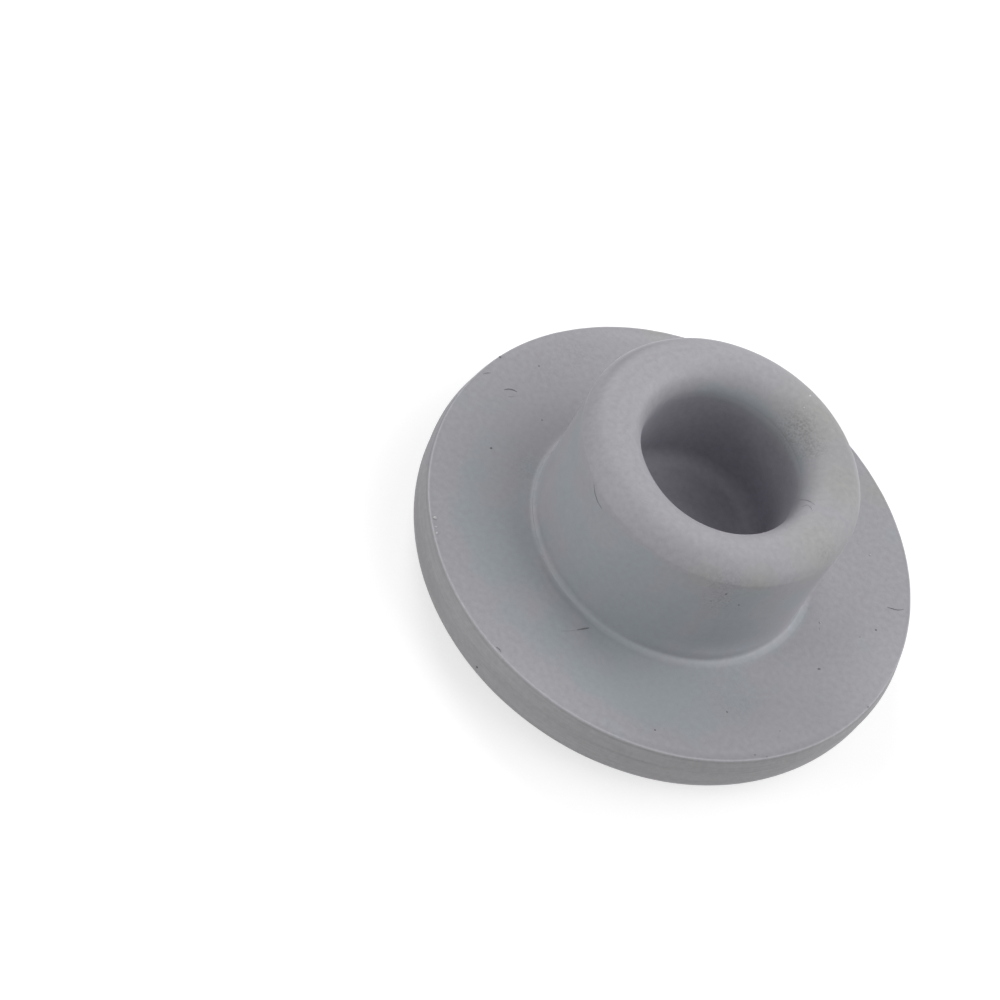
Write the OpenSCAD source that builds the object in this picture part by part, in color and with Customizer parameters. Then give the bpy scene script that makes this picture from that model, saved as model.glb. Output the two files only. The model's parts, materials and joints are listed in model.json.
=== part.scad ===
// Rubber stopper for a small injection vial, moulded in one piece.
// It lies plug up on its top face, with +Z along the plug and the origin under the middle.

/* [Flange] */
// Widest diameter, at the upper end of the trimmed edge
flange_d = 13; // [12:0.1:16]
// Thickness between the top face and the sealing face
flange_t = 1.8; // [1.5:0.05:3.2]
// Height of the trimmed edge below the parting line
trim_h = 0.48; // [0.3:0.02:0.6]
// How much narrower the trimmed edge is at the sealing face
trim_taper = 0.2; // [0:0.02:0.4]
// Width of the ledge that the trimming leaves at the parting line
trim_ledge = 0.04; // [0.02:0.01:0.12]
// Radius that rounds the moulded side over into the top face
edge_r = 1.05; // [0.3:0.05:1.2]

/* [Target ring on the top face] */
// Diameter of the raised ring, along the middle of its crest
target_d = 3.1; // [2:0.1:5]
// Width of its crest
target_w = 0.14; // [0.08:0.02:0.4]
// How far it stands up from the face
target_h = 0.05; // [0.02:0.01:0.15]

/* [Plug] */
// Diameter of the plug's straight side
plug_d = 7.22; // [6.8:0.02:7.8]
// Height of the plug above the sealing face
plug_h = 3.85; // [3.6:0.05:6]
// Radius of the fillet where the plug meets the sealing face
root_r = 0.2; // [0.1:0.02:0.4]
// Radius of the lip's outer round, from the side up to the crest
lip_r = 0.76; // [0.5:0.02:0.9]
// Lean of that round where it leaves the side, 0 for a smooth change and more for a crease
lip_lean = 21; // [0:1:35]

/* [Hollow in the plug] */
// Diameter of the straight wall
hollow_d = 4.14; // [3.6:0.02:4.4]
// Depth from the crest of the lip to the floor
hollow_depth = 3.35; // [2.6:0.05:3.8]
// Radius of the lip's inner round, from the crest down to the wall
mouth_r = 0.88; // [0.7:0.02:1.2]
// Radius of the corner between the wall and the floor
floor_r = 0.45; // [0.1:0.05:0.6]

/* [Hidden] */
rubber_grey = [0.6, 0.61, 0.63];
$fn = 72;

// Heights, from the surface that the stopper lies on
face_z = target_h;
seal_z = face_z + flange_t;
parting_z = seal_z - trim_h;
tip_z = seal_z + plug_h;
floor_z = tip_z - hollow_depth;

// Flange, as radii from the axis
trim_r = flange_d / 2;
seal_r = trim_r - trim_taper / 2;
side_r = trim_r - trim_ledge;

// The moulded side keeps a short straight stretch under the parting line, however thin the flange is
straight_side_h = 0.05;
round_r = min(edge_r, parting_z - face_z - straight_side_h);

// Plug and hollow, as radii from the axis
plug_r = plug_d / 2;
hollow_r = hollow_d / 2;
crest_r = plug_r - lip_r * cos(lip_lean);

// The lip's outer round meets the side in a crease at this height
crease_z = tip_z - lip_r * (1 - sin(lip_lean));

// The inner round always reaches from the crest to the wall, however narrow the hollow is
inner_round_r = max(mouth_r, crest_r - hollow_r);

// The ring's flanks slope at 45 degrees, so its foot is wider than its crest
target_r = target_d / 2;
target_foot = target_w / 2 + target_h;

// A rectangle between two corners of the half section: distance from the axis, then height
module block(low, high) {
    translate(low)
        square(high - low);
}

// A full round of the half section
module round_at(radius, middle) {
    translate(middle)
        circle(r = radius);
}

// Moulded upper part of the flange: face, rounded edge and straight side
module flange_cap_section() {
    block([0, face_z], [side_r - round_r, parting_z]);
    block([0, face_z + round_r], [side_r, parting_z]);
    intersection() {
        round_at(round_r, [side_r - round_r, face_z + round_r]);
        block([0, face_z], [side_r, parting_z]);
    }
}

// Trimmed edge: it tapers from the ledge at the parting line to the sealing face
module flange_trim_section() {
    polygon([[0, parting_z], [trim_r, parting_z], [seal_r, seal_z], [0, seal_z]]);
}

// Raised ring that marks the middle of the face, where the needle goes through
module target_section() {
    polygon([
        [target_r - target_foot, face_z],
        [target_r - target_w / 2, 0],
        [target_r + target_w / 2, 0],
        [target_r + target_foot, face_z]
    ]);
}

// Fillet between the sealing face and the side of the plug
module root_section() {
    difference() {
        block([0, seal_z], [plug_r + root_r, seal_z + root_r]);
        round_at(root_r, [plug_r + root_r, seal_z + root_r]);
    }
}

// Plug before it is hollowed: straight side and the outer round of the lip
module plug_section() {
    block([0, seal_z], [plug_r, crease_z]);
    block([0, seal_z], [crest_r, tip_z]);
    intersection() {
        round_at(lip_r, [crest_r, tip_z - lip_r]);
        block([0, crease_z], [plug_r, tip_z]);
    }
}

// Space of the hollow: straight wall, rounded floor corner and the inner round of the lip
module hollow_section() {
    block([0, floor_z], [hollow_r - floor_r, tip_z]);
    block([0, floor_z + floor_r], [hollow_r, tip_z]);
    round_at(floor_r, [hollow_r - floor_r, floor_z + floor_r]);
    difference() {
        block([0, tip_z - inner_round_r], [crest_r, tip_z]);
        round_at(inner_round_r, [crest_r, tip_z - inner_round_r]);
    }
}

module stopper_section() {
    difference() {
        union() {
            flange_cap_section();
            flange_trim_section();
            target_section();
            root_section();
            plug_section();
        }
        hollow_section();
    }
}

module stopper() {
    color(rubber_grey)
        rotate_extrude()
            stopper_section();
}

stopper();
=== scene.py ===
"""A grey rubber vial stopper, plug up, seen from the photograph's viewpoint.

Lengths of the stopper are written in millimetres and turned into metres where a mesh is made.
Angles round the stopper's axis are in degrees from the viewer's side, turning right.
"""

import json
import math
import random

import bmesh
import bpy
from mathutils import Matrix, Vector, noise
from mathutils.bvhtree import BVHTree


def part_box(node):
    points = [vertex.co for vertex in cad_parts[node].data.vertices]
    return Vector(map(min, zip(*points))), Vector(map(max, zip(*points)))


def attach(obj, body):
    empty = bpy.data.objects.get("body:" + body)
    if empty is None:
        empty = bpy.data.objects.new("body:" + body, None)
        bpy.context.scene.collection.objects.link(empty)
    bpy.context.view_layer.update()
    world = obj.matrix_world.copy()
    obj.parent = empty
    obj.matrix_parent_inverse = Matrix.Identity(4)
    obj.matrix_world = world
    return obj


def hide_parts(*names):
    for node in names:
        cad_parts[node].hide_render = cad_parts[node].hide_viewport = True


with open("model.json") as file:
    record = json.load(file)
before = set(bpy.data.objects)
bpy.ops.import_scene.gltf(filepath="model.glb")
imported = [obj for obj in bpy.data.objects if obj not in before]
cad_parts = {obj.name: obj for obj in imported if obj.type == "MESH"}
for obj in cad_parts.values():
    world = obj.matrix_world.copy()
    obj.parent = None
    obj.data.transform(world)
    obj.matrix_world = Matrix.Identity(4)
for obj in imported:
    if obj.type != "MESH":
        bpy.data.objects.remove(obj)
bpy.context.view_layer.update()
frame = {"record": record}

NODE = "stopper"
MM = 0.001

# ---------------------------------------------------------------- sizes, in millimetres
MOUNTS = {mount["name"]: mount for mount in frame["record"]["mounts"]}


def height_of(mount):
    return MOUNTS[mount]["pos_m"][2] / MM


NODE_LOW, NODE_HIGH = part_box(NODE)
TRIM_R = (NODE_HIGH.x - NODE_LOW.x) / 2 / MM
TIP_Z = NODE_HIGH.z / MM
FACE_Z = height_of("top_face")
SEAL_Z = height_of("sealing_face")
PLUG_R = MOUNTS["plug_side"]["dims"]["r_mm"]
HOLLOW_R = MOUNTS["plug_hollow"]["dims"]["r_mm"]

# Flange
TRIM_H = 0.48
TRIM_TAPER = 0.1
TRIM_LEDGE = 0.04
EDGE_R = 1.0
PARTING_Z = SEAL_Z - TRIM_H
SIDE_R = TRIM_R - TRIM_LEDGE
SEAL_R = TRIM_R - TRIM_TAPER

# Target ring
TARGET_R = 1.55
TARGET_W = 0.14

# Plug, its lip and its hollow. The lip's two rounds meet at its crest, and each ends in a
# crease, where it leaves the plug's side or the hollow's wall.
ROOT_R = 0.2
LIP_R = 0.76
LIP_LEAN = math.radians(21)
MOUTH_R = 0.84
HOLLOW_DEPTH = 3.35
FLOOR_CORNER_R = 0.45
CREST_R = PLUG_R - LIP_R * math.cos(LIP_LEAN)
CREASE_Z = TIP_Z - LIP_R * (1 - math.sin(LIP_LEAN))
MOUTH_LEAN = math.acos((CREST_R - HOLLOW_R) / MOUTH_R)
FLOOR_Z = TIP_Z - HOLLOW_DEPTH
PLUG_SHIFT = -0.04

# Softness of the moulded corners, of the cut ones and of the hollow's crease
MOULD_CORNER = 0.03
CUT_CORNER = 0.02
CREASE_CORNER = 0.1

# The trimming blade leaves a ragged burr on the rim, a fine groove under it and streaks along
# the band. The parting of the mould leaves a flash of uneven width. BURR_SHARE is the burr's mean
# height as a share of BURR_H, and also how far it varies. The values in PER_MM are how often the
# unevenness changes in a millimetre.
BURR_H = 0.014
BURR_W = 0.04
BURR_SHARE = 0.6
BURR_PER_MM = 3
GROOVE_DEEP = 0.012
GROOVE_DOWN = 0.09
GROOVE_W = 0.03
STREAK_DEEP = 0.0035
STREAK_LENGTH = 3
STREAKS_PER_MM = 20
FLASH_LOSS = 0.03
FLASH_PER_MM = 2

# The streaks are deepest at one azimuth, with a spread in degrees, and have a share of that
# depth elsewhere
STREAKS_AT = (-85, 25)
STREAK_LEAST = 0.25

# The hollow's edge bulges inwards a little on the viewer's side: how far, its azimuth and
# spread in degrees, how it fades towards the crest and down the wall, and the radius that it
# leaves alone
BULGE = 0.052
BULGE_AT = (-36, 24)
BULGE_FADE_UP = 0.2
BULGE_FADE_DOWN = 1
BULGE_LEAST_R = 1.5

# Slow waves of the moulded skin. Each axis reads the noise at its own place.
WAVE_H = 0.006
WAVE_LENGTH = 1.7
WAVE_PLACES = (0, 31, 67)

# Painted light and shade, with some uneven skin: where each surface is painted lighter or darker
# than the plain rubber, for light, shade and shadows that the lamps don't give. Each place has
# the amount as a fraction, its azimuth and spread in degrees, and its depth and spread in
# millimetres, where depth is the radius on the flange's upper face, the height on every other
# surface, and goes on along the floor in the hollow. A spread of ALL reaches everywhere.
ALL = 1000
PAINTED_SHADING_AND_SKIN = {
    "edge": [
        (0.04, 0, ALL, 0, ALL), (-0.22, -85, 48, 0, ALL), (-0.1, -82, 25, 0.95, 0.3),
        (-0.08, -40, 30, 1.0, 0.5), (0.11, 42, 17, 1.1, 0.4),
        (0.09, 8, 32, 0.82, 0.18), (-0.05, -64, 12, 1.05, 0.3), (0.05, 38, 14, 1.15, 0.3),
    ],
    "flash": [(0.01, 0, ALL, 0, ALL), (-0.45, -85, 35, 0, ALL)],
    "band": [
        (0.005, 0, ALL, 0, ALL), (-0.22, -88, 40, 0, ALL), (-0.06, -52, 20, 1.68, 0.3),
    ],
    "seal": [
        (-0.05, 195, 60, 0, ALL), (0.12, 213, 14, 6.3, 0.3), (0.03, 35, 40, 0, ALL),
        (-0.1, -98, 26, 4.1, 0.7), (-0.03, -105, 30, 5.4, 0.8), (-0.1, -42, 24, 4.05, 0.35),
        (-0.06, -30, 12, 4.6, 0.5), (-0.05, -14, 9, 5.1, 0.8), (0.07, -15, 20, 3.88, 0.12),
        (0.05, 12, 11, 5.2, 0.9), (-0.05, 47, 11, 4.9, 0.6), (0.13, 34, 30, 6.29, 0.13),
        (0.11, 93, 14, 4.1, 0.5), (-0.02, 112, 25, 5.2, 0.9), (0.05, 77, 10, 4.9, 0.6),
        (0.03, 55, 18, 5.9, 0.5), (0.02, -65, 25, 5.3, 0.8), (-0.03, 110, 12, 4.8, 0.5),
        (0.05, 62, 10, 6.25, 0.15),
    ],
    "plug": [
        (-0.09, -85, 50, 0, ALL), (0.29, 46, 20, 2.12, 0.4), (-0.04, -20, 45, 2.35, 0.5),
        (-0.18, -80, 16, 5.0, 1.2), (-0.07, -80, 14, 2.9, 1.3), (-0.04, 8, 35, 3.4, 1.2),
        (-0.14, 80, 12, 4.8, 0.8), (-0.04, -50, 25, 4.8, 0.5), (-0.03, -72, 15, 3.7, 0.8),
        (-0.05, -77, 13, 0, ALL), (-0.06, 77, 13, 0, ALL), (0.05, 44, 18, 2.07, 0.1),
    ],
    "lip": [
        (0.02, 0, ALL, 5.65, 0.3), (-0.13, -70, 32, 5.24, 0.3), (-0.1, -80, 20, 5.27, 0.15),
        (-0.2, -103, 18, 5.5, 0.09), (-0.15, -127, 22, 5.53, 0.1), (-0.03, -30, 40, 5.45, 0.3),
        (0.06, 58, 12, 5.5, 0.1), (-0.1, 85, 22, 5.28, 0.12), (-0.08, 125, 16, 5.62, 0.12),
        (-0.06, 140, 20, 5.62, 0.08), (0.05, 205, 20, 5.7, 0.06), (0.04, 28, 20, 5.5, 0.1),
        (0.03, 80, 20, 5.65, 0.08), (-0.06, -70, 20, 5.52, 0.14),
        (-0.05, -98, 20, 5.5, 0.3), (-0.05, 150, 16, 5.5, 0.08), (-0.05, 37, 16, 5.25, 0.07),
    ],
    "mouth": [
        (0.02, 0, ALL, 5.65, 0.3), (-0.3, 85, 40, 4.86, 0.45), (-0.22, 80, 22, 4.98, 0.25),
        (-0.17, 142, 38, 5.28, 0.42), (-0.19, 172, 48, 5.0, 0.15), (0.21, -112, 42, 5.53, 0.12),
        (-0.22, -98, 28, 4.98, 0.12), (0.04, 215, 30, 5.66, 0.06), (-0.06, 5, 75, 4.95, 0.22),
        (-0.05, 152, 14, 5.55, 0.12), (-0.05, 150, 25, 4.98, 0.12), (-0.12, 72, 16, 4.9, 0.12),
        (-0.1, -85, 18, 4.9, 0.12),
    ],
    "hollow": [
        (-0.03, 0, ALL, 0, ALL), (-0.28, 85, 40, 4.9, 0.9), (-0.14, 145, 45, 4.7, 0.45),
        (0.22, 128, 28, 3.1, 0.7), (0.09, 170, 45, 3.5, 0.9), (-0.2, 182, 60, 1.15, 0.4),
        (0.12, 130, 18, 1.9, 0.3), (-0.09, -108, 25, 4.6, 0.5), (0.08, 210, 35, 1.8, 0.15),
        (-0.06, 150, 25, 2.4, 0.1), (-0.08, 99, 14, 4.5, 0.6), (-0.05, -105, 20, 4.4, 0.5),
        (-0.05, 155, 22, 4.3, 0.5), (0.06, 205, 14, 4.5, 0.35),
    ],
}

# The same painted light and shade for the fillet at the plug's root, where depth is in degrees
# down from the plug's side
ROOT_PAINTED_SHADING = [
    (0.11, -18, 25, 88, 18), (0.07, -70, 20, 80, 20), (-0.15, 22, 25, 18, 16),
    (0.05, 85, 25, 84, 14), (-0.05, 15, 85, 26, 9), (0.05, 44, 18, 4, 10), (0.03, 35, 15, 82, 10),
]

# Amounts that change round the axis only: each place adds its amount, at an azimuth and with a
# spread in degrees. On the root's fillet a painted highlight runs as a light line, at a depth and
# with a spread in degrees, and two more factors paint shade on the fillet's left and light on its
# right.
ROOT_HIGHLIGHT = 0.04
ROOT_HIGHLIGHT_PLACES = [(0.13, 65, 40)]
ROOT_HIGHLIGHT_AT = 44
ROOT_HIGHLIGHT_W = 15
ROOT_SHADE_PLACES = [(-0.13, -50, 60)]
ROOT_SIDE_PLACES = [(-0.04, -35, 40), (0.05, 65, 40)]

# The rim's corner is painted lighter as a highlight, at a distance and with a spread in
# millimetres, and the blade's groove is painted darker as shade
RIM_HIGHLIGHT = 0.22
RIM_HIGHLIGHT_PLACES = [(-0.14, -98, 35), (0.13, 15, 45)]
RIM_HIGHLIGHT_AT = 0.005
RIM_HIGHLIGHT_W = 0.027
GROOVE_PAINTED_SHADE = 0.09

# A painted teal tint of shade, where the grey leans to teal: on the flange up to a radius, on the
# plug fading upwards by a share over a height, and under the crest of the mouth
COOL_FLANGE_PLACES = [(0.58, -52, 45), (0.76, 24, 33)]
COOL_FLANGE_R = 5.3
COOL_FLANGE_FADE = 0.45
COOL_PLUG = 0.68
COOL_PLUG_AT = (0, 100)
COOL_PLUG_LOSS = 0.2
COOL_PLUG_H = 3.4
COOL_MOUTH_AT = (165, 65)
COOL_MOUTH_DOWN = 0.6
COOL_MOUTH_FADE = 0.3

# A painted violet tint of shade, where it leans to violet: in the hollow, growing over a height,
# and at the flange's left
SHADE_VIOLET_H = 0.6
SHADE_VIOLET_SIDE = 0.5
SHADE_VIOLET_SIDE_AT = (-90, 25)

# The body's points round its axis, its rows down the band, and the surfaces of the flange's side
AROUND = 420
BAND_ROWS = 24
FLANGE_SIDE = ("edge", "flash", "band")


# ---------------------------------------------------------------- half section
def line(start, end, steps):
    """Points after start, up to end, as (distance from the axis, height)."""
    return [
        tuple(a + (b - a) * i / steps for a, b in zip(start, end))
        for i in range(1, steps + 1)
    ]


def arc(centre, radius, first_deg, last_deg, steps):
    """Points of an arc, both ends included."""
    angles = [
        math.radians(first_deg + (last_deg - first_deg) * i / steps)
        for i in range(steps + 1)
    ]
    return [
        (centre[0] + radius * math.cos(a), centre[1] + radius * math.sin(a))
        for a in angles
    ]


def soft_corner(before, corner, after, size, steps=3):
    """A corner rounded off by a short curve that starts and ends size away from it."""
    corner = Vector(corner)
    start = corner + (Vector(before) - corner).normalized() * size
    end = corner + (Vector(after) - corner).normalized() * size
    points = []
    for i in range(steps + 1):
        t = i / steps
        points.append(tuple((1 - t) ** 2 * start + 2 * t * (1 - t) * corner + t * t * end))
    return points


def stretch(points, name):
    """Each point with the name of the surface that it lies on."""
    return [(point, name) for point in points]


def section():
    """The half section from the middle of the lower face to the middle of the hollow's floor.

    Each point comes with the name of its surface. The side is nicked very slightly inwards
    where it meets the flash.
    """
    half_w = TARGET_W / 2
    ring = [
        (TARGET_R - half_w - FACE_Z, FACE_Z),
        (TARGET_R - half_w, 0),
        (TARGET_R + half_w, 0),
        (TARGET_R + half_w + FACE_Z, FACE_Z),
    ]
    face_end = (SIDE_R - EDGE_R, FACE_Z)
    side_top = (SIDE_R, PARTING_Z)
    flash = (TRIM_R, PARTING_Z)
    rim = (SEAL_R, SEAL_Z)
    burr_foot = (SEAL_R - 3 * BURR_W, SEAL_Z)
    root_start = (PLUG_R + ROOT_R, SEAL_Z)
    root_end = (PLUG_R, SEAL_Z + ROOT_R)
    middle = (0, FACE_Z)

    points = stretch(line(middle, ring[0], 6)[:-1], "face")
    points += stretch(soft_corner(middle, ring[0], ring[1], MOULD_CORNER), "face")
    points += stretch(soft_corner(ring[0], ring[1], ring[2], MOULD_CORNER), "face")
    points += stretch(soft_corner(ring[1], ring[2], ring[3], MOULD_CORNER), "face")
    points += stretch(soft_corner(ring[2], ring[3], face_end, MOULD_CORNER), "face")
    points += stretch(line(ring[3], face_end, 12)[1:-1], "face")
    points += stretch(arc((face_end[0], FACE_Z + EDGE_R), EDGE_R, -90, 0, 20), "edge")
    points += stretch(line((SIDE_R, FACE_Z + EDGE_R), side_top, 4)[:-1], "edge")
    points += stretch(soft_corner(middle, side_top, flash, CUT_CORNER / 4, 1), "edge")
    points += stretch(soft_corner(side_top, flash, rim, CUT_CORNER), "flash")
    points += stretch(line(flash, rim, BAND_ROWS)[1:-1], "band")
    points += stretch(soft_corner(flash, rim, root_start, CUT_CORNER), "rim")
    points += stretch(line((SEAL_R - CUT_CORNER, SEAL_Z), burr_foot, 4), "rim")
    points += stretch(line(burr_foot, root_start, 20)[:-1], "seal")
    points += stretch(arc((root_start[0], root_end[1]), ROOT_R, 270, 180, 12), "root")
    lip = arc((CREST_R, TIP_Z - LIP_R), LIP_R, math.degrees(LIP_LEAN), 90, 18)
    mouth = arc((CREST_R, TIP_Z - MOUTH_R), MOUTH_R, 90, 180 - math.degrees(MOUTH_LEAN), 18)
    points += stretch(line(root_end, lip[0], 16)[:-1], "plug")
    points += stretch(soft_corner(root_end, lip[0], lip[1], MOULD_CORNER), "lip")
    points += stretch(lip[1:-1], "lip")
    points += stretch(mouth[:-2], "mouth")
    wall_foot = (HOLLOW_R, FLOOR_Z + FLOOR_CORNER_R)
    points += stretch(soft_corner(mouth[-3], mouth[-1], wall_foot, CREASE_CORNER, 5), "hollow")
    points += stretch(line(mouth[-1], wall_foot, 12)[1:-1], "hollow")
    corner_middle = (HOLLOW_R - FLOOR_CORNER_R, FLOOR_Z + FLOOR_CORNER_R)
    points += stretch(arc(corner_middle, FLOOR_CORNER_R, 360, 270, 8), "hollow")
    points += stretch(line((corner_middle[0], FLOOR_Z), (0, FLOOR_Z), 6)[:-1], "hollow")
    return points


# ---------------------------------------------------------------- body
def bump_at(distance, width):
    """1 where distance is 0, falling to nothing a few widths away."""
    return math.exp(-((distance / width) ** 2))


def lobe(angle, middle, width):
    """bump_at for angles, the short way round."""
    return bump_at((angle - middle + 180) % 360 - 180, width)


def by_azimuth(angle, start, places):
    """The start value, plus what each place adds at this angle."""
    amounts = (amount * lobe(angle, azimuth, spread) for amount, azimuth, spread in places)
    return sum(amounts, start)


def placed(name, radius, height, angle):
    """Where a point of the section comes, with the unevenness that its surface has."""
    azimuth = math.radians(angle)
    outward = Vector((math.sin(azimuth), -math.cos(azimuth), 0))
    even = outward * radius + Vector((0, 0, height))
    if name == "flash":
        radius -= FLASH_LOSS * (0.5 + 0.5 * noise.noise(even * FLASH_PER_MM))
    elif name == "band":
        layers = Vector((even.x / STREAK_LENGTH, even.y / STREAK_LENGTH, even.z * STREAKS_PER_MM))
        strength = STREAK_LEAST + (1 - STREAK_LEAST) * lobe(angle, *STREAKS_AT)
        radius -= GROOVE_DEEP * bump_at(SEAL_Z - GROOVE_DOWN - height, GROOVE_W)
        radius -= STREAK_DEEP * strength * noise.noise(layers)
    elif name == "rim":
        ragged = BURR_SHARE + BURR_SHARE * noise.noise(even * BURR_PER_MM)
        height += BURR_H * ragged * bump_at(SEAL_R - BURR_W / 2 - radius, BURR_W)
    elif name in ("mouth", "hollow") and radius > BULGE_LEAST_R:
        under_crest = 1 - bump_at(TIP_Z - height, BULGE_FADE_UP)
        near_edge = bump_at(max(TIP_Z - MOUTH_R - height, 0), BULGE_FADE_DOWN)
        radius -= BULGE * lobe(angle, *BULGE_AT) * under_crest * near_edge
    point = outward * radius + Vector((0, 0, height))
    if height > SEAL_Z + MOULD_CORNER:
        even.x += PLUG_SHIFT
        point.x += PLUG_SHIFT
    waves = [noise.noise(even / WAVE_LENGTH + Vector((away, 0, 0))) for away in WAVE_PLACES]
    point += WAVE_H * Vector(waves)
    point.z = max(point.z, 0)
    return point


def tone(name, radius, height, angle):
    """Painted light and shade: how much lighter or darker than the plain rubber the surface is,
    as a factor.
    """
    depth = height
    if name == "seal":
        depth = radius
    elif name == "hollow":
        depth = height + radius - HOLLOW_R
    level = 1 + sum(
        amount * lobe(angle, azimuth, spread) * bump_at(depth - middle, reach)
        for amount, azimuth, spread, middle, reach in PAINTED_SHADING_AND_SKIN.get(name, [])
    )
    # Painted highlight along the rim's corner
    if name in ("band", "flash", "rim"):
        corner = math.hypot(SEAL_R - radius, SEAL_Z - height)
        rim_highlight = by_azimuth(angle, RIM_HIGHLIGHT, RIM_HIGHLIGHT_PLACES)
        level *= 1 + rim_highlight * bump_at(corner - RIM_HIGHLIGHT_AT, RIM_HIGHLIGHT_W)
    # Painted shade in the blade's groove
    if name == "band":
        level *= 1 - GROOVE_PAINTED_SHADE * bump_at(SEAL_Z - GROOVE_DOWN - height, GROOVE_W)
    # Painted highlight along the root's fillet, with painted shade on its left and light on its
    # right
    if name == "root":
        down = math.degrees(math.atan2(SEAL_Z + ROOT_R - height, PLUG_R + ROOT_R - radius))
        painted_highlight = by_azimuth(angle, ROOT_HIGHLIGHT, ROOT_HIGHLIGHT_PLACES)
        level *= 1 + painted_highlight * bump_at(down - ROOT_HIGHLIGHT_AT, ROOT_HIGHLIGHT_W)
        shade = by_azimuth(angle, 1, ROOT_SHADE_PLACES)
        level *= shade * by_azimuth(angle, 1, ROOT_SIDE_PLACES)
        for amount, azimuth, spread, middle, reach in ROOT_PAINTED_SHADING:
            level *= 1 + amount * lobe(angle, azimuth, spread) * bump_at(down - middle, reach)
    return level


def painted_shade_teal(name, radius, height, angle):
    """How far the grey leans from violet to teal, a painted tint of shade round the plug's near
    foot.
    """
    if name == "seal":
        near = by_azimuth(angle, 0, COOL_FLANGE_PLACES)
        return near * bump_at(max(radius - COOL_FLANGE_R, 0), COOL_FLANGE_FADE)
    if name in ("root", "plug"):
        left_over = 1 - COOL_PLUG_LOSS * (height - SEAL_Z) / COOL_PLUG_H
        return COOL_PLUG * lobe(angle, *COOL_PLUG_AT) * left_over
    if name in ("mouth", "hollow"):
        under_crest = bump_at(TIP_Z - COOL_MOUTH_DOWN - height, COOL_MOUTH_FADE)
        return lobe(angle, *COOL_MOUTH_AT) * under_crest
    return 0


def dusk(name, height, angle):
    """How violet the rubber is painted, as a tint of shade: in the hollow, more so with depth,
    and at the flange's left.
    """
    if name == "hollow":
        return min(max((CREASE_Z - height) / SHADE_VIOLET_H, 0), 1)
    return SHADE_VIOLET_SIDE * lobe(angle, *SHADE_VIOLET_SIDE_AT) if name in FLANGE_SIDE else 0


def body_mesh():
    """The moulded body, turned from the half section, with its outer surface facing out.

    Its first and last points are the middles of the lower face and of the hollow's floor.
    """
    outline = section()
    vertices = [(0, 0, FACE_Z * MM)]
    looks = {"tone": [1], "band": [0], "cool": [0], "dusk": [0]}
    floor_looks = {"tone": 1, "band": 0, "cool": 0, "dusk": 1}
    for (radius, height), name in outline:
        for i in range(AROUND):
            angle = 360 * i / AROUND
            vertices.append(placed(name, radius, height, angle) * MM)
            looks["tone"].append(tone(name, radius, height, angle))
            looks["band"].append(float(name in FLANGE_SIDE))
            looks["cool"].append(painted_shade_teal(name, radius, height, angle))
            looks["dusk"].append(dusk(name, height, angle))
    vertices.append((0, 0, FLOOR_Z * MM))
    for look, value in floor_looks.items():
        looks[look].append(value)

    def at(ring, i):
        return 1 + ring * AROUND + i % AROUND

    last_ring = len(outline) - 1
    faces = [(0, at(0, i + 1), at(0, i)) for i in range(AROUND)]
    for ring in range(last_ring):
        faces += [
            (at(ring, i), at(ring, i + 1), at(ring + 1, i + 1), at(ring + 1, i))
            for i in range(AROUND)
        ]
    tip = len(vertices) - 1
    faces += [(at(last_ring, i), at(last_ring, i + 1), tip) for i in range(AROUND)]

    mesh = bpy.data.meshes.new("stopper_body")
    mesh.from_pydata(vertices, [], faces)
    mesh.shade_smooth()
    for name, values in looks.items():
        add_attribute(mesh, name, values)
    return mesh


def add_attribute(mesh, name, values):
    attribute = mesh.attributes.new(name, "FLOAT", "POINT")
    attribute.data.foreach_set("value", values)


# ---------------------------------------------------------------- camera
# The photograph is IMAGE_PX wide and high. The rim of the sealing face is an ellipse in it.
IMAGE_PX = 1000
SENSOR_MM = 36
FOCAL_PX = 4219.2
RIM_MIDDLE_PX = (673.30, 537.24)
RIM_RADIUS_PX = 258.395
# The plug's axis leans AXIS_TILT_DEG away from the line of sight towards the viewer, and
# AXIS_TURN_DEG is where it points in the picture, from the right and turning downwards.
AXIS_TILT_DEG = 40.003
AXIS_TURN_DEG = -58.796
# Nearest and farthest that the camera sees, in metres
NEAREST = 0.005
FARTHEST = 10


def new_object(name, data):
    made = bpy.data.objects.new(name, data)
    bpy.context.scene.collection.objects.link(made)
    return made


def add_camera():
    """The camera in the stopper's frame, where it stands on the side of -Y."""
    depth = FOCAL_PX / RIM_RADIUS_PX * SEAL_R
    across, down = ((px - IMAGE_PX / 2) / RIM_RADIUS_PX * SEAL_R for px in RIM_MIDDLE_PX)
    tilt, turn = math.radians(AXIS_TILT_DEG), math.radians(AXIS_TURN_DEG)
    # Directions and points as the camera has them: right, down, forward
    axis = Vector((
        math.sin(tilt) * math.cos(turn),
        math.sin(tilt) * math.sin(turn),
        -math.cos(tilt),
    ))
    rim_middle = Vector((across, down, depth))
    origin = rim_middle - axis * SEAL_Z
    away = (rim_middle - rim_middle.dot(axis) * axis).normalized()
    frame_x = away.cross(axis)
    turn_in = Matrix((frame_x, away, axis))
    position = turn_in @ -origin * MM
    right, down_dir, forward = (turn_in.col[i].copy() for i in range(3))

    data = bpy.data.cameras.new("camera")
    data.sensor_width = SENSOR_MM
    data.lens = FOCAL_PX / IMAGE_PX * SENSOR_MM
    data.clip_start = NEAREST
    data.clip_end = FARTHEST
    camera = new_object("camera", data)
    rotation = Matrix((right, -down_dir, -forward)).transposed()
    camera.matrix_world = Matrix.Translation(position) @ rotation.to_4x4()
    bpy.context.scene.camera = camera
    return camera


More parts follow.
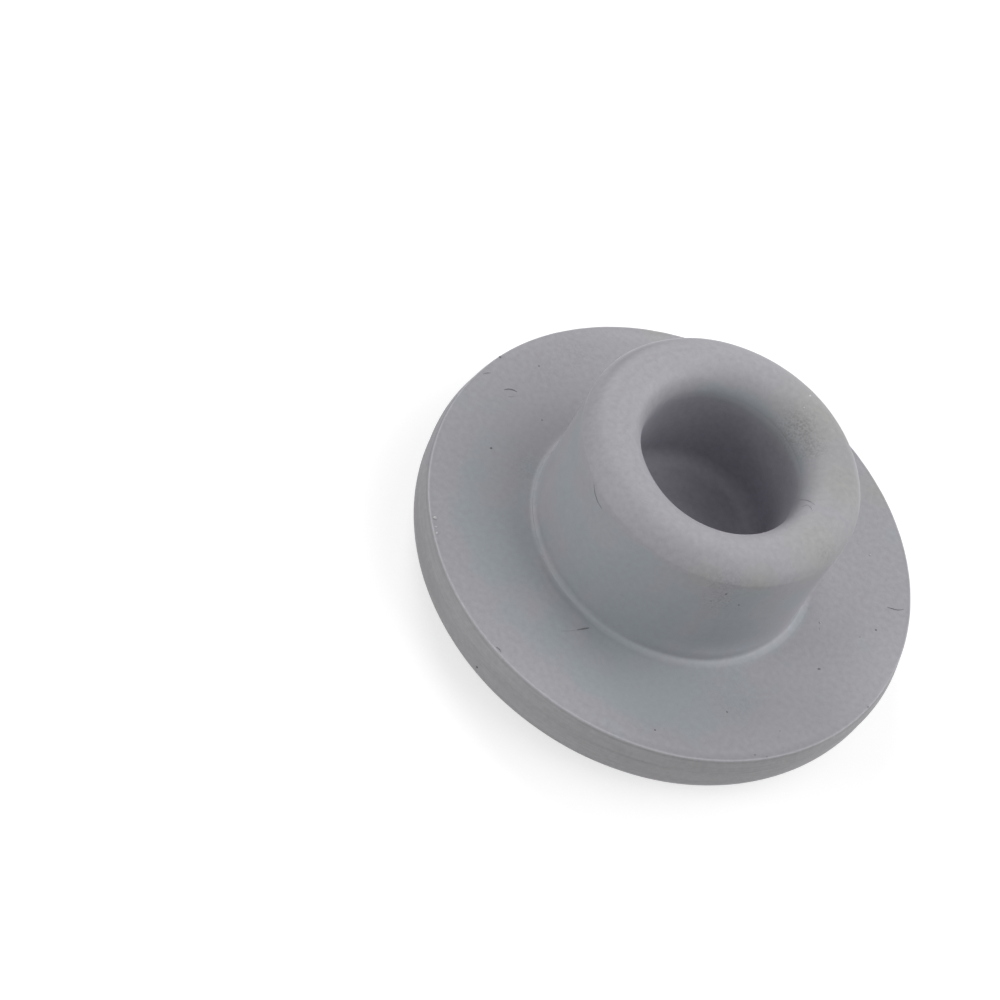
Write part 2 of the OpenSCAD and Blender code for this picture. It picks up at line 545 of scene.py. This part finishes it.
# ---------------------------------------------------------------- lint, specks and dirt
# Where they show in the photograph, in its pixels. Each lies on the body's skin there.
# Fibres: thickness in millimetres and the points they pass
FIBRES_PX = {
    "far_flange": (0.018, [(504, 390), (508, 389), (513, 390), (517, 392)]),
    "far_flange_faint": (0.007, [(508, 396), (511, 397), (514, 396)]),
    "far_rim": (0.014, [(483, 374), (487, 373), (491, 373)]),
    "by_the_root": (0.034, [(577, 630), (583, 629), (589, 628)]),
    "by_the_root_faint": (0.007, [(561, 631), (569, 631), (577, 630)]),
    "right_rim": (0.016, [(887, 607), (893, 609), (899, 610), (904, 609)]),
    "mouth_upper": (0.011, [(799, 500), (805, 500), (811, 502), (815, 505)]),
    "mouth_lower": (0.008, [(802, 507), (807, 505), (811, 508), (812, 511)]),
    "lip_left": (0.013, [(594, 484), (595, 493), (598, 502), (602, 509)]),
    "left_rim": (0.018, [(496, 647), (499, 649), (501, 652)]),
}
# Specks: middle, and radius in millimetres
DARK_SPECKS_PX = {
    "far_rim": (500, 357, 0.027),
    "far_flange_a": (539, 366, 0.018),
    "far_flange_b": (542, 420, 0.015),
    "left_flange": (491, 448, 0.022),
    "left_band": (477, 667, 0.03),
    "near_flange_a": (655, 730, 0.018),
    "near_flange_b": (727, 712, 0.017),
    "near_flange_c": (780, 731, 0.013),
    "near_rim_a": (755, 755, 0.017),
    "near_rim_b": (767, 757, 0.014),
    "right_flange_a": (819, 669, 0.028),
    "right_flange_b": (876, 630, 0.021),
    "right_flange_c": (868, 707, 0.017),
    "right_flange_d": (860, 637, 0.012),
    "plug_a": (739, 605, 0.019),
    "plug_b": (726, 594, 0.021),
    "plug_c": (711, 601, 0.013),
    "plug_d": (729, 601, 0.011),
    "plug_e": (712, 607, 0.01),
}
PALE_SPECKS_PX = {
    "lip_a": (810, 396, 0.022),
    "lip_b": (804, 408, 0.018),
    "right_flange_a": (870, 555, 0.022),
    "right_flange_b": (820, 623, 0.022),
    "right_flange_c": (820, 629, 0.018),
    "left_rim_a": (435, 518, 0.042),
    "left_rim_b": (436, 527, 0.022),
    "left_rim_c": (437, 533, 0.024),
}
# Dirty places: middle, how far round it the dirt reaches in millimetres, and how thick it is,
# from 0 to 1
SMUDGES_PX = {
    "lip": (797, 430, 0.48, 1.0),
    "lip_tail": (810, 447, 0.36, 0.8),
    "lip_end": (826, 552, 0.25, 0.5),
    "lip_left": (610, 430, 0.9, 0.13),
    "lip_near": (700, 565, 0.9, 0.12),
    "plug": (722, 600, 0.5, 0.6),
    "plug_top": (724, 587, 0.5, 0.6),
    "far_flange_a": (576, 352, 0.6, 0.28),
    "far_flange_b": (548, 372, 0.6, 0.22),
    # This place darkens the flange in the corner at the plug's left foot
    "left_flange": (532, 468, 0.6, 0.4),
    "near_flange": (735, 700, 1.0, 0.2),
    "right_flange": (860, 640, 1.2, 0.07),
}
# Places with a yellowish bloom, in the same way
HAZES_PX = {
    "lip_right": (822, 415, 1.1, 1.0),
    "lip_right_low": (846, 485, 0.8, 1.0),
    "lip_near_right": (820, 545, 0.8, 0.9),
    "right_flange": (876, 490, 0.5, 0.8),
    "far_flange": (655, 332, 0.35, 0.8),
    "lip_edge_a": (760, 582, 0.4, 0.8),
    "lip_edge_b": (705, 578, 0.35, 0.7),
}

# Where the photograph doesn't look: how many fibres and specks, and their sizes. A fibre is
# walked over the skin in steps.
UNSEEN_FIBRES = 6
UNSEEN_FIBRE_R = 0.01
FIBRE_STEPS = 9
FIBRE_STEP = 0.06
FIBRE_TURN = 0.2
UNSEEN_DARK = 14
UNSEEN_PALE = 8
UNSEEN_SPECK_R = (0.014, 0.03)
LINT_SEED = 11
DARK_SEED = 3
PALE_SEED = 5

# A fibre's sides, the steps between two of its points in the photograph, its ends' share of its
# thickness, and how far its middle lies above the skin as a share of its radius
FIBRE_SIDES = 6
PATH_STEPS = 4
FIBRE_END = 0.35
FIBRE_LIFT = 0.6

# A speck: how uneven it is and how close its lumps are, its greatest length, its thickness and
# its lift off the skin, all in radii
CRUMB_UNEVEN = 0.35
CRUMB_LUMPS = 1.5
CRUMB_LONGEST = 1.5
CRUMB_FLAT = 0.6
CRUMB_LIFT = 0.2

# How far off the skin a line of sight starts
SKIN_GAP = 0.01


def skin_of(obj):
    """The body's surface, for finding points on it."""
    return BVHTree.FromPolygons(
        [v.co.copy() for v in obj.data.vertices],
        [tuple(p.vertices) for p in obj.data.polygons],
    )


def on_skin(camera, skin, pixel):
    """The point of the body that shows at a pixel of the photograph, and its normal."""
    ray = Vector((
        (pixel[0] - IMAGE_PX / 2) / FOCAL_PX,
        (IMAGE_PX / 2 - pixel[1]) / FOCAL_PX,
        -1,
    ))
    direction = (camera.matrix_world.to_3x3() @ ray).normalized()
    point, normal, _, _ = skin.ray_cast(camera.matrix_world.translation, direction)
    return point, normal


def spread_of(camera, skin, places, vertices):
    """For each vertex, how much of these places' dirt or haze it has, near to none far off."""
    amounts = [0.0] * len(vertices)
    for px, py, reach, strength in places.values():
        middle, _ = on_skin(camera, skin, (px, py))
        for i, vertex in enumerate(vertices):
            distance = (vertex.co - middle).length / MM
            if distance < 3 * reach:
                amounts[i] = max(amounts[i], strength * bump_at(distance, reach))
    return amounts


def tube(mesh, points, normals, radius):
    """A fibre along the points, thin at its ends, added to a bmesh."""
    rings = []
    last = len(points) - 1
    for i, (point, normal) in enumerate(zip(points, normals)):
        ahead = (points[min(i + 1, last)] - points[max(i - 1, 0)]).normalized()
        across = ahead.cross(normal).normalized()
        swell = math.sin(math.pi * (i + 0.5) / (last + 1))
        thin = radius * (FIBRE_END + (1 - FIBRE_END) * swell)
        rings.append([
            mesh.verts.new(
                point + thin * (math.cos(a) * across + (math.sin(a) + FIBRE_LIFT) * normal)
            )
            for a in (2 * math.pi * k / FIBRE_SIDES for k in range(FIBRE_SIDES))
        ])
    for low, high in zip(rings, rings[1:]):
        for k in range(FIBRE_SIDES):
            after = (k + 1) % FIBRE_SIDES
            mesh.faces.new((low[k], low[after], high[after], high[k]))
    mesh.faces.new(reversed(rings[0]))
    mesh.faces.new(rings[-1])


def smooth_path(points, steps):
    """Points on a Catmull-Rom curve through the given ones."""
    ends = [points[0]] + points + [points[-1]]
    path = []
    for a, b, c, d in zip(ends, ends[1:], ends[2:], ends[3:]):
        for i in range(steps):
            t = i / steps
            path.append(0.5 * (
                2 * b + (c - a) * t + (2 * a - 5 * b + 4 * c - d) * t ** 2
                + (3 * b - a - 3 * c + d) * t ** 3
            ))
    return path + [points[-1]]


def crumb(mesh, point, normal, radius, rng):
    """A small flattened lump that lies on the skin, added to a bmesh."""
    made = bmesh.ops.create_icosphere(mesh, subdivisions=2, radius=1)["verts"]
    turn = normal.to_track_quat("Z", "Y").to_matrix()
    seed = Vector([rng.uniform(0, 50) for _ in range(3)])
    long_way = rng.uniform(1, CRUMB_LONGEST)
    spin = Matrix.Rotation(rng.uniform(0, math.pi), 3, "Z")
    for vertex in made:
        uneven = CRUMB_UNEVEN * noise.noise(vertex.co * CRUMB_LUMPS + seed)
        lump = vertex.co * (1 + uneven)
        lump = spin @ Vector((lump.x * long_way, lump.y, lump.z * CRUMB_FLAT + CRUMB_LIFT))
        vertex.co = point + turn @ lump * radius


def out_of_sight(camera, skin, point, normal):
    """Whether the body hides a point of its skin from the photograph's viewpoint."""
    start = point + normal * MM * SKIN_GAP
    to_eye = (camera.matrix_world.translation - start).normalized()
    return skin.ray_cast(start, to_eye)[0] is not None


def unseen_place(camera, skin, skin_mesh, rng):
    """A place of the body where the photograph doesn't look, clear of the part it stands on."""
    faces = skin_mesh.polygons
    areas = [face.area for face in faces]
    while True:
        face = rng.choices(faces, weights=areas)[0]
        clear = face.center.z > FACE_Z / 2 * MM
        if clear and out_of_sight(camera, skin, face.center, face.normal):
            return face.center.copy(), face.normal.copy()


# ---------------------------------------------------------------- materials
# The dusty skin glows a little where it is seen edge on
SHEEN = 0.4
SHEEN_ROUGHNESS = 0.21
SHEEN_TINT = (0.95, 0.92, 1, 1)

# The scales of the rubber's patterns, per millimetre
DRIFT_SCALE = 0.9
MOTTLE_SCALE = 7
GRAIN_SCALE = 28
DIRT_SCALE = 18
CELL_SCALE = 3.6
STREAK_SCALES = (0.7, 0.7, 30)

# The part of each noise that counts, from its lowest to its highest. A speck's is how far from
# its middle it begins to fade, and where it ends.
NOISE_SPAN = (0.3, 0.7)
DRIFT_SPAN = (0.62, 0.88)
DIRT_SPAN = (0.42, 0.64)
STREAK_SPAN = (0.35, 0.65)
SPECK_SPAN = (0.05, 0.17)

# How strong they are: the mottle in violet and in teal rubber, then the least and the most of
# the grain, the streaks, the fine specks, which only a share of the cells has, and the dirt
MOTTLE_SWING = (0.3, 0.1)
GRAIN_LEVEL = (0.994, 1.006)
STREAK_LEVEL = (-0.05, 0.05)
SPECK_LEVEL = (0.02, 0.08)
SPECK_SHARE = 0.4
DIRT_LEVEL = (0, 0.3)

# How much the painted teal tint of shade and the trimmed band do to the hue
COOL_SHARE = 0.6
BAND_SHARE = 0.5

# The rubber's roughness, how much rougher its trimmed side is, and the relief in metres
ROUGHNESS = (0.56, 0.64)
BAND_ROUGHER = 0.1
RELIEF = 1.5e-6

# Lint and dust: how they shine, and how uneven their grey is
LINT_ROUGHNESS = 0.85
LINT_SPECULAR = 0.2
BLOTCH_SCALE = 12
BLOTCH_LEVEL = (0.7, 1.3)

TEAL_GREY = (0.316, 0.341, 0.367, 1)
VIOLET_GREY = (0.342, 0.336, 0.362, 1)
# The violet grey of painted shade
SHADE_VIOLET_GREY = (0.334, 0.328, 0.370, 1)
HAZE_GREY = (0.336, 0.334, 0.332, 1)
LINT_GREY = (0.19, 0.19, 0.20, 1)
DUST_GREY = (0.56, 0.56, 0.57, 1)
FLOOR_GREY = (0.5, 0.5, 0.5, 1)
FLOOR_GLOW = (0.64, 0.64, 0.64, 1)
WHITE = (1, 1, 1, 1)


def feed(tree, socket, value):
    """Gives a socket a value, or links another node's output to it."""
    if isinstance(value, bpy.types.NodeSocket):
        tree.links.new(value, socket)
    else:
        socket.default_value = value


def add_node(tree, kind, inputs=None, **settings):
    """A node with its settings made, and each input given a value or another's output."""
    made = tree.nodes.new(kind)
    for name, value in settings.items():
        setattr(made, name, value)
    for name, value in (inputs or {}).items():
        feed(tree, made.inputs[name], value)
    return made


def maths(tree, operation, *values):
    """The output of a Math node."""
    inputs = dict(enumerate(values))
    return add_node(tree, "ShaderNodeMath", inputs, operation=operation).outputs["Value"]


def between(tree, value, low, high, to_low, to_high):
    """The value's span from low to high, drawn out to another span and kept inside it."""
    inputs = {
        "Value": value,
        "From Min": low, "From Max": high,
        "To Min": to_low, "To Max": to_high,
    }
    return add_node(tree, "ShaderNodeMapRange", inputs).outputs["Result"]


def noise_of(tree, place, scale, detail=2.0):
    inputs = {"Vector": place, "Scale": scale, "Detail": detail}
    return add_node(tree, "ShaderNodeTexNoise", inputs).outputs["Fac"]


def attribute(tree, name):
    return add_node(tree, "ShaderNodeAttribute", attribute_name=name).outputs["Fac"]


def mixed(tree, amount, first, second):
    """A colour between two, where amounts 0 and 1 are the first and the second."""
    mix = add_node(tree, "ShaderNodeMix", data_type="RGBA")
    sockets = {socket.name: socket for socket in mix.inputs if socket.enabled}
    feed(tree, sockets["Factor"], amount)
    feed(tree, sockets["A"], first)
    feed(tree, sockets["B"], second)
    return next(socket for socket in mix.outputs if socket.enabled)


def scaled(tree, vector, factor):
    """A vector or colour times a number."""
    inputs = {0: vector, "Scale": factor}
    return add_node(tree, "ShaderNodeVectorMath", inputs, operation="SCALE").outputs["Vector"]


def in_millimetres(tree):
    """The place on the piece, which patterns are laid over."""
    place = add_node(tree, "ShaderNodeTexCoord").outputs["Object"]
    return scaled(tree, place, 1 / MM)


def new_material(name, roughness, specular=0.5):
    material = bpy.data.materials.new(name)
    material.use_nodes = True
    shader = material.node_tree.nodes["Principled BSDF"]
    shader.inputs["Roughness"].default_value = roughness
    shader.inputs["Specular IOR Level"].default_value = specular
    return material, material.node_tree, shader


def rubber_material():
    """Matt grey rubber: slow drifts of hue, a fine grain, fine specks and dirty places, with
    light and shade painted into its colour.

    The body's attributes steer it: one is how light or dark each place is painted, mostly painted
    light and shade with some uneven skin; band marks the trimmed side; one is a painted teal tint
    of shade; one the painted violet tint of shade in the hollow; haze a yellowish bloom; and soil
    how much dirt lies there.
    """
    material, tree, shader = new_material("grey_rubber", 0.6)
    shader.inputs["Sheen Weight"].default_value = SHEEN
    shader.inputs["Sheen Roughness"].default_value = SHEEN_ROUGHNESS
    shader.inputs["Sheen Tint"].default_value = SHEEN_TINT
    place = in_millimetres(tree)

    # The painted teal tint of shade pulls the hue towards teal
    drift = maths(tree, "MULTIPLY", attribute(tree, "cool"), COOL_SHARE)
    drift = maths(tree, "ADD", drift, noise_of(tree, place, DRIFT_SCALE, 3.0))
    colour = mixed(tree, between(tree, drift, *DRIFT_SPAN, 0, 1), VIOLET_GREY, TEAL_GREY)
    plain = maths(tree, "MULTIPLY", attribute(tree, "band"), BAND_SHARE)
    colour = mixed(tree, plain, colour, HAZE_GREY)
    # Painted violet tint of shade
    colour = mixed(tree, attribute(tree, "dusk"), colour, SHADE_VIOLET_GREY)
    colour = mixed(tree, attribute(tree, "haze"), colour, HAZE_GREY)

    mottle = noise_of(tree, place, MOTTLE_SCALE)
    grain = noise_of(tree, place, GRAIN_SCALE)
    strength = between(tree, attribute(tree, "cool"), 0, 1, *MOTTLE_SWING)
    swing = maths(tree, "MULTIPLY", maths(tree, "SUBTRACT", mottle, 0.5), strength)
    # Painted light and shade, with some uneven skin, sets how light each place is
    level = maths(tree, "MULTIPLY", attribute(tree, "tone"), maths(tree, "ADD", swing, 1))
    level = maths(tree, "MULTIPLY", level, between(tree, grain, *NOISE_SPAN, *GRAIN_LEVEL))

    # Streaks along the trimmed band
    squeeze = {0: place, 1: STREAK_SCALES}
    layers = add_node(tree, "ShaderNodeVectorMath", squeeze, operation="MULTIPLY")
    streak = noise_of(tree, layers.outputs["Vector"], 1)
    streak = between(tree, streak, *STREAK_SPAN, *STREAK_LEVEL)
    streak = maths(tree, "MULTIPLY", streak, attribute(tree, "band"))
    level = maths(tree, "MULTIPLY", level, maths(tree, "ADD", streak, 1))

    # Fine specks, each in its own cell, in some of the cells
    cells = add_node(tree, "ShaderNodeTexVoronoi", {"Vector": place, "Scale": CELL_SCALE})
    channels = add_node(tree, "ShaderNodeSeparateColor", {"Color": cells.outputs["Color"]})
    chosen = maths(tree, "LESS_THAN", channels.outputs["Red"], SPECK_SHARE)
    spot = between(tree, cells.outputs["Distance"], *SPECK_SPAN, 1, 0)
    spot = maths(tree, "MULTIPLY", spot, chosen)
    darkness = between(tree, channels.outputs["Green"], 0, 1, *SPECK_LEVEL)
    spot = maths(tree, "MULTIPLY", spot, darkness)

    # Dirt, which lies in fine grains
    dirt = noise_of(tree, place, DIRT_SCALE, 4.0)
    dirt = between(tree, dirt, *DIRT_SPAN, *DIRT_LEVEL)
    dirt = maths(tree, "MULTIPLY", dirt, attribute(tree, "soil"))
    level = maths(tree, "MULTIPLY", level, maths(tree, "SUBTRACT", 1, spot))
    level = maths(tree, "MULTIPLY", level, maths(tree, "SUBTRACT", 1, dirt))

    feed(tree, shader.inputs["Base Color"], scaled(tree, colour, level))

    rough = between(tree, mottle, *NOISE_SPAN, *ROUGHNESS)
    rougher = maths(tree, "MULTIPLY", attribute(tree, "band"), BAND_ROUGHER)
    feed(tree, shader.inputs["Roughness"], maths(tree, "ADD", rough, rougher))

    height = maths(tree, "ADD", maths(tree, "MULTIPLY", mottle, 2), grain)
    inputs = {"Height": height, "Strength": 1, "Distance": RELIEF}
    relief = add_node(tree, "ShaderNodeBump", inputs)
    feed(tree, shader.inputs["Normal"], relief.outputs["Normal"])
    return material


def speck_material(name, grey):
    """Lint or dust: one grey, a little uneven from place to place."""
    material, tree, shader = new_material(name, LINT_ROUGHNESS, LINT_SPECULAR)
    blotch = noise_of(tree, in_millimetres(tree), BLOTCH_SCALE)
    level = between(tree, blotch, *NOISE_SPAN, *BLOTCH_LEVEL)
    feed(tree, shader.inputs["Base Color"], scaled(tree, grey[:3], level))
    return material


def seen_directly(tree):
    """1 for the camera's own rays and for what shines or lets them through, else 0."""
    rays = tree.nodes.new("ShaderNodeLightPath").outputs
    seen = maths(tree, "MAXIMUM", rays["Is Camera Ray"], rays["Is Glossy Ray"])
    return maths(tree, "MAXIMUM", seen, rays["Is Transmission Ray"])


def split_for_camera(tree, plain, shown, surface):
    """Sends one shader to the surface for what the camera sees, and the plain one otherwise."""
    mix = tree.nodes.new("ShaderNodeMixShader")
    feed(tree, mix.inputs["Fac"], seen_directly(tree))
    feed(tree, mix.inputs[1], plain)
    feed(tree, mix.inputs[2], shown)
    feed(tree, surface, mix.outputs["Shader"])


def floor_material():
    """A pale floor that the camera sees as white wherever no shadow falls on it."""
    material, tree, plain = new_material("pale_floor", 1, 0)
    bright = tree.nodes.new("ShaderNodeBsdfPrincipled")
    for shader in (plain, bright):
        shader.inputs["Base Color"].default_value = FLOOR_GREY
        shader.inputs["Roughness"].default_value = 1
        shader.inputs["Specular IOR Level"].default_value = 0
    bright.inputs["Emission Color"].default_value = FLOOR_GLOW
    bright.inputs["Emission Strength"].default_value = 1
    surface = tree.nodes["Material Output"].inputs["Surface"]
    split_for_camera(tree, plain.outputs["BSDF"], bright.outputs["BSDF"], surface)
    return material


# ---------------------------------------------------------------- light and floor
# Each lamp: azimuth, elevation, the angle from its middle to its edge as the stopper sees it,
# and its power in watts
LAMPS = {
    "right": (105, 36, 34, 0.157),
    "high_right": (120, 48, 34, 0.165),
    "left": (225, 36, 14, 0.152),
    "low_front": (315, 15, 14, 0.161),
}
# Metres from the stopper's foot
LAMP_DISTANCE = 0.2
SKY_GREY = (0.3, 0.3, 0.3, 1)
# Half the floor's side, in metres
FLOOR_HALF = 0.5


def add_lamp(name, azimuth_deg, elevation_deg, half_angle_deg, power):
    azimuth, elevation = math.radians(azimuth_deg), math.radians(elevation_deg)
    towards = Vector((
        math.sin(azimuth) * math.cos(elevation),
        -math.cos(azimuth) * math.cos(elevation),
        math.sin(elevation),
    ))
    data = bpy.data.lights.new(name, "AREA")
    data.shape = "DISK"
    data.size = 2 * LAMP_DISTANCE * math.tan(math.radians(half_angle_deg))
    data.energy = power
    lamp = new_object(name, data)
    lamp.location = towards * LAMP_DISTANCE
    lamp.rotation_mode = "QUATERNION"
    lamp.rotation_quaternion = towards.to_track_quat("Z", "Y")
    lamp.visible_camera = False


def add_world():
    """Weak light from all round, which the camera sees as white."""
    world = bpy.data.worlds.new("studio")
    world.use_nodes = True
    tree = world.node_tree
    sky = tree.nodes["Background"]
    sky.inputs["Color"].default_value = SKY_GREY
    backdrop = add_node(tree, "ShaderNodeBackground", {"Color": WHITE})
    surface = tree.nodes["World Output"].inputs["Surface"]
    split_for_camera(tree, sky.outputs["Background"], backdrop.outputs["Background"], surface)
    bpy.context.scene.world = world


def add_floor():
    low, high = -FLOOR_HALF, FLOOR_HALF
    corners = [(low, low, 0), (high, low, 0), (high, high, 0), (low, high, 0)]
    mesh = bpy.data.meshes.new("floor")
    mesh.from_pydata(corners, [], [(0, 1, 2, 3)])
    floor = new_object("floor", mesh)
    mesh.materials.append(floor_material())


# ---------------------------------------------------------------- pieces
def add_piece(name, mesh, material):
    piece = new_object(name, mesh)
    mesh.materials.append(material)
    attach(piece, "root")
    return piece


def add_small_things(name, made, material):
    """A piece from a bmesh."""
    mesh = bpy.data.meshes.new(name)
    made.to_mesh(mesh)
    made.free()
    mesh.shade_smooth()
    return add_piece(name, mesh, material)


def add_lint(camera, skin, body, material):
    """The fibres that show in the photograph, and a few where it doesn't look."""
    rng = random.Random(LINT_SEED)
    lint = bmesh.new()
    for thickness, pixels in FIBRES_PX.values():
        spots = [Vector((*pixel, 0)) for pixel in pixels]
        found = [on_skin(camera, skin, spot) for spot in smooth_path(spots, PATH_STEPS)]
        points, normals = zip(*found)
        tube(lint, points, normals, thickness / 2 * MM)
    made = 0
    while made < UNSEEN_FIBRES:
        start, normal = unseen_place(camera, skin, body.data, rng)
        side = normal.orthogonal().normalized()
        other = normal.cross(side)
        heading = rng.uniform(0, 2 * math.pi)
        turn = rng.uniform(-FIBRE_TURN, FIBRE_TURN)
        place = start
        found = []
        for _ in range(FIBRE_STEPS):
            point, skin_normal, _, _ = skin.find_nearest(place)
            found.append((point, skin_normal))
            ahead = math.cos(heading) * side + math.sin(heading) * other
            place = point + ahead * FIBRE_STEP * MM
            heading += turn
        above_foot = all(point.z > FACE_Z * 2 * MM for point, _ in found)
        if above_foot and all(out_of_sight(camera, skin, *spot) for spot in found):
            tube(lint, *zip(*found), UNSEEN_FIBRE_R * MM)
            made += 1
    return add_small_things("lint_fibres", lint, material)


def add_specks(name, places, unseen, seed, camera, skin, body, material):
    """The specks that show in the photograph, and some where it doesn't look."""
    rng = random.Random(seed)
    specks = bmesh.new()
    for px, py, radius in places.values():
        point, normal = on_skin(camera, skin, (px, py))
        crumb(specks, point, normal, radius * MM, rng)
    for _ in range(unseen):
        point, normal = unseen_place(camera, skin, body.data, rng)
        crumb(specks, point, normal, rng.uniform(*UNSEEN_SPECK_R) * MM, rng)
    return add_small_things(name, specks, material)


body = add_piece("stopper_body", body_mesh(), rubber_material())
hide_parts(NODE)
camera = add_camera()
skin = skin_of(body)
skin_vertices = body.data.vertices
add_attribute(body.data, "soil", spread_of(camera, skin, SMUDGES_PX, skin_vertices))
add_attribute(body.data, "haze", spread_of(camera, skin, HAZES_PX, skin_vertices))
lint_grey = speck_material("dark_lint", LINT_GREY)
dust_grey = speck_material("pale_dust", DUST_GREY)
add_lint(camera, skin, body, lint_grey)
add_specks("dark_specks", DARK_SPECKS_PX, UNSEEN_DARK, DARK_SEED, camera, skin, body, lint_grey)
add_specks("pale_specks", PALE_SPECKS_PX, UNSEEN_PALE, PALE_SEED, camera, skin, body, dust_grey)

add_floor()
for lamp_name, lamp_values in LAMPS.items():
    add_lamp(lamp_name, *lamp_values)
add_world()
bpy.context.scene.view_settings.view_transform = "Standard"
